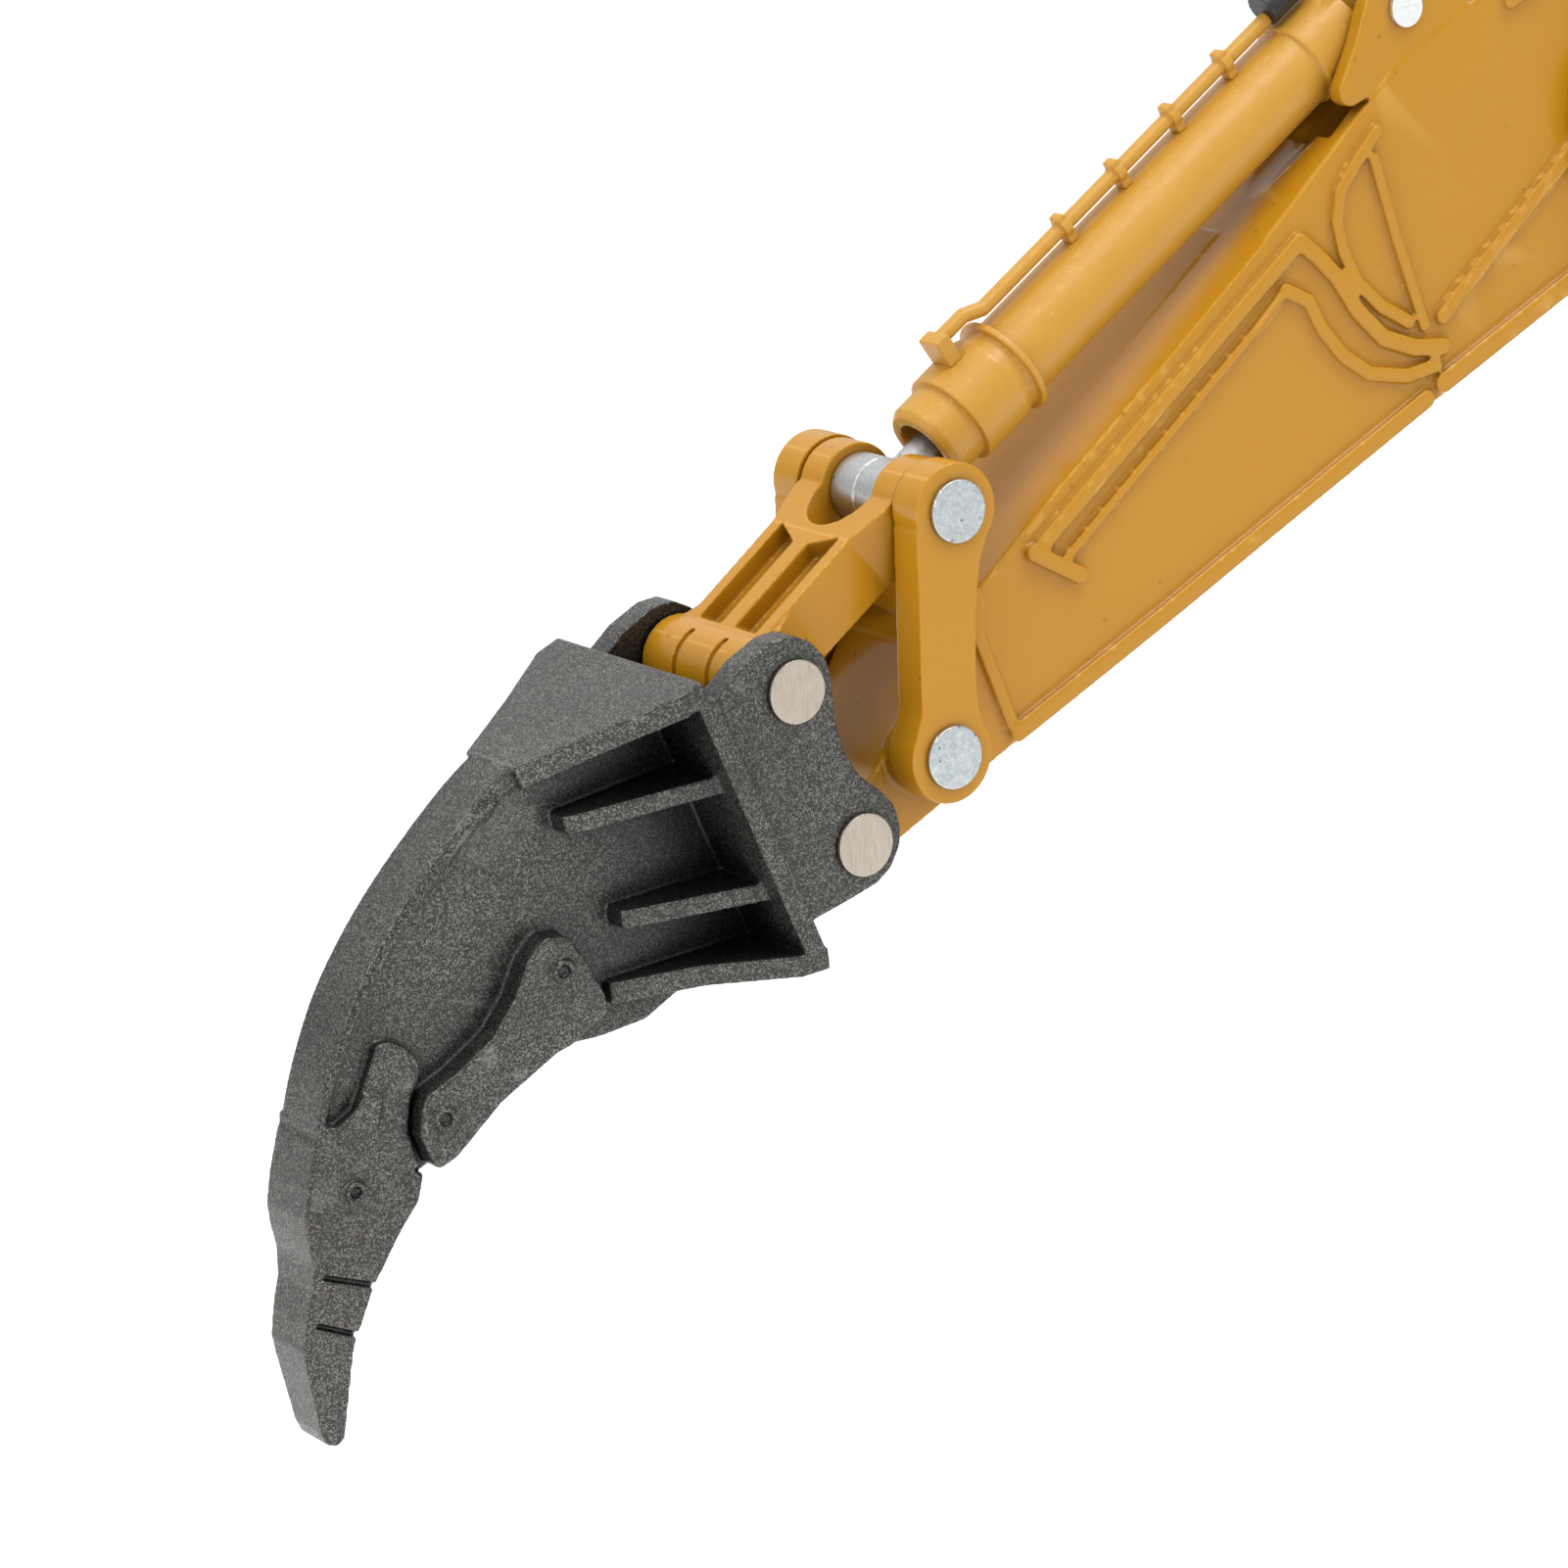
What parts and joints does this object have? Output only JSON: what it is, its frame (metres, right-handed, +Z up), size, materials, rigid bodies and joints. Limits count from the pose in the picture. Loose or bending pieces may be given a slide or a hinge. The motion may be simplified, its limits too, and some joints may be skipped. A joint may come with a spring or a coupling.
{
  "type": "radio control excavator",
  "caption": "Small-scale radio control crawler excavator with a two-piece arm, hydraulic-style cylinders and a single curved ripper shank on a riveted linkage.",
  "frame": {"origin": "centre of the machine's outline on the ground that the tracks stand on", "axes": "+X forward, from the counterweight to the ripper; +Y to the cab side; +Z up"},
  "size_m": [0.2864, 0.069, 0.1199],
  "materials": {
    "yellow_paint": "gloss sprayed die-cast paint",
    "black_paint": "satin black with fine metal flake",
    "grey_paint": "satin dark grey paint",
    "yellow_plastic": "moulded plastic, self-coloured",
    "black_plastic": "matte black moulded plastic",
    "zinc_pin": "zinc plated, grained",
    "nickel_pin": "nickel plated, brushed",
    "rod_steel": "turned steel",
    "track_rubber": "soft dark track compound",
    "clear_glass": "clear smoked panes",
    "grey_plastic": "matte dark grey",
    "board_green": "printed circuit board",
    "brass": "machined brass"
  },
  "bodies": {
    "undercarriage": {"centre_frame": "yellow_paint", "belly_covers": "grey_plastic", "side_frame_left": "yellow_paint", "side_frame_right": "yellow_paint", "track_left": "track_rubber", "track_right": "track_rubber", "idler_axles": "zinc_pin", "drive_motors": "rod_steel", "slew_ring_gear": "grey_plastic", "slew_washer": "grey_plastic", "slew_screw": "zinc_pin"},
    "left_sprocket": {"sprocket_left": "grey_paint", "drive_shaft_left": "rod_steel"},
    "right_sprocket": {"sprocket_right": "grey_paint", "drive_shaft_right": "rod_steel"},
    "left_idler": {"idler_wheel_left": "grey_paint"},
    "right_idler": {"idler_wheel_right": "grey_paint"},
    "house": {"deck": "grey_paint", "deck_pins": "zinc_pin", "counterweight": "grey_paint", "engine_hood": "yellow_paint", "exhaust_pipe": "black_plastic", "fuel_tank": "yellow_paint", "tool_box": "grey_paint", "cab_shell": "yellow_paint", "cab_glass": "clear_glass", "cab_seat": "grey_plastic", "battery": "grey_plastic", "control_board": "board_green", "slew_motor": "rod_steel", "power_switch": "black_plastic", "charge_socket": "black_plastic", "handrails": "black_plastic", "mirrors": "black_plastic", "house_screws": "zinc_pin"},
    "pinion": {"slew_pinion": "brass", "slew_motor_shaft": "rod_steel"},
    "switch": {"switch_slider": "black_plastic"},
    "boom": {"boom": "yellow_paint", "boom_nose_pin": "zinc_pin", "arm_cylinder_base_pin": "zinc_pin", "boom_rod_pin": "zinc_pin"},
    "boom_rods": {"boom_cylinder_rods": "rod_steel"},
    "boom_barrels": {"boom_cylinder_barrels": "yellow_plastic"},
    "arm": {"arm": "yellow_paint", "ripper_cylinder_base_pin": "zinc_pin", "arm_lever_pin": "zinc_pin"},
    "arm_rod": {"arm_cylinder_rod": "rod_steel"},
    "arm_barrel": {"arm_cylinder_barrel": "yellow_plastic"},
    "idler_links": {"idler_link_left": "yellow_paint", "idler_link_right": "yellow_paint", "link_rivet": "zinc_pin", "idler_pivot_rivet": "zinc_pin"},
    "h_link": {"h_link": "yellow_paint"},
    "ripper_rod": {"ripper_cylinder_rod": "rod_steel"},
    "ripper_barrel": {"ripper_cylinder_barrel": "yellow_plastic", "ripper_cylinder_pipe": "yellow_plastic", "ripper_cylinder_elbow": "black_plastic"},
    "ripper": {"ripper": "black_paint", "ripper_rivets": "nickel_pin"}
  },
  "joints": [
    {"name": "slew", "type": "hinge", "parent": "undercarriage", "child": "house", "pos_m": [-0.06925, 0, 0.026], "axis": [0, 0, 1], "continuous": true},
    {"name": "pinion_spin", "type": "hinge", "parent": "house", "child": "pinion", "pos_m": [-0.08547, 0, 0.024], "axis": [0, 0, 1], "continuous": true},
    {"name": "switch_slide", "type": "slide", "parent": "house", "child": "switch", "axis": [1, 0, 0], "range_m": [0, 0.0027]},
    {"name": "left_sprocket_spin", "type": "hinge", "parent": "undercarriage", "child": "left_sprocket", "pos_m": [-0.11225, 0.028, 0.012], "axis": [0, 1, 0], "continuous": true},
    {"name": "left_idler_spin", "type": "hinge", "parent": "undercarriage", "child": "left_idler", "pos_m": [-0.02625, 0.028, 0.012], "axis": [0, 1, 0], "continuous": true},
    {"name": "right_sprocket_spin", "type": "hinge", "parent": "undercarriage", "child": "right_sprocket", "pos_m": [-0.11225, -0.028, 0.012], "axis": [0, 1, 0], "continuous": true},
    {"name": "right_idler_spin", "type": "hinge", "parent": "undercarriage", "child": "right_idler", "pos_m": [-0.02625, -0.028, 0.012], "axis": [0, 1, 0], "continuous": true},
    {"name": "boom_lift", "type": "hinge", "parent": "house", "child": "boom", "pos_m": [-0.06475, 0, 0.038], "axis": [0, -1, 0], "range_deg": [-30, 20]},
    {"name": "boom_rod_hinge", "type": "hinge", "parent": "boom", "child": "boom_rods", "pos_m": [-0.02325, 0, 0.084], "axis": [0, -1, 0], "range_deg": [-0.48, 0.45]},
    {"name": "boom_cylinder_slide", "type": "slide", "parent": "boom_rods", "child": "boom_barrels", "axis": [-0.4731, 0, -0.881], "range_m": [-0.00763, 0.00512]},
    {"name": "arm_swing", "type": "hinge", "parent": "boom", "child": "arm", "pos_m": [0.05821, 0, 0.10065], "axis": [0, -1, 0], "range_deg": [-38, 12]},
    {"name": "arm_rod_hinge", "type": "hinge", "parent": "arm", "child": "arm_rod", "pos_m": [0.05121, 0, 0.11715], "axis": [0, -1, 0], "range_deg": [-12.39, 38.37]},
    {"name": "arm_cylinder_slide", "type": "slide", "parent": "arm_rod", "child": "arm_barrel", "axis": [-0.981, 0, -0.1941], "range_m": [-0.00372, 0.01157]},
    {"name": "ripper_curl", "type": "hinge", "parent": "arm", "child": "ripper", "pos_m": [0.11271, 0, 0.06675], "axis": [0, -1, 0], "range_deg": [-80, 5]},
    {"name": "idler_hinge", "type": "hinge", "parent": "arm", "child": "idler_links", "pos_m": [0.10727, 0, 0.0707], "axis": [0, -1, 0], "range_deg": [-65.79, 4.49]},
    {"name": "h_link_hinge", "type": "hinge", "parent": "idler_links", "child": "h_link", "pos_m": [0.10717, 0, 0.08358], "axis": [0, -1, 0], "range_deg": [-2.31, 30.9]},
    {"name": "ripper_rod_hinge", "type": "hinge", "parent": "idler_links", "child": "ripper_rod", "pos_m": [0.10717, 0, 0.08358], "axis": [0, -1, 0], "range_deg": [-4.67, 68.77]},
    {"name": "ripper_cylinder_slide", "type": "slide", "parent": "ripper_rod", "child": "ripper_barrel", "axis": [-0.7945, 0, 0.6073], "range_m": [-0.00096, 0.0138]}
  ],
  "couplings": [
    {"joint": "pinion_spin", "follows": "slew", "ratio": 2.8333},
    {"joint": "left_idler_spin", "follows": "left_sprocket_spin", "ratio": 1},
    {"joint": "right_idler_spin", "follows": "right_sprocket_spin", "ratio": 1},
    {"joint": "boom_rod_hinge", "follows": "boom_lift", "ratio": 0.0026},
    {"joint": "boom_cylinder_slide", "follows": "boom_lift", "m_per_rad": 0.014376},
    {"joint": "arm_rod_hinge", "follows": "arm_swing", "ratio": -0.9992},
    {"joint": "arm_cylinder_slide", "follows": "arm_swing", "m_per_rad": -0.017292},
    {"joint": "idler_hinge", "follows": "ripper_curl", "ratio": 0.8174},
    {"joint": "h_link_hinge", "follows": "ripper_curl", "ratio": -0.3812},
    {"joint": "ripper_rod_hinge", "follows": "ripper_curl", "ratio": -0.8546},
    {"joint": "ripper_cylinder_slide", "follows": "ripper_curl", "m_per_rad": -0.0098102}
  ]
}
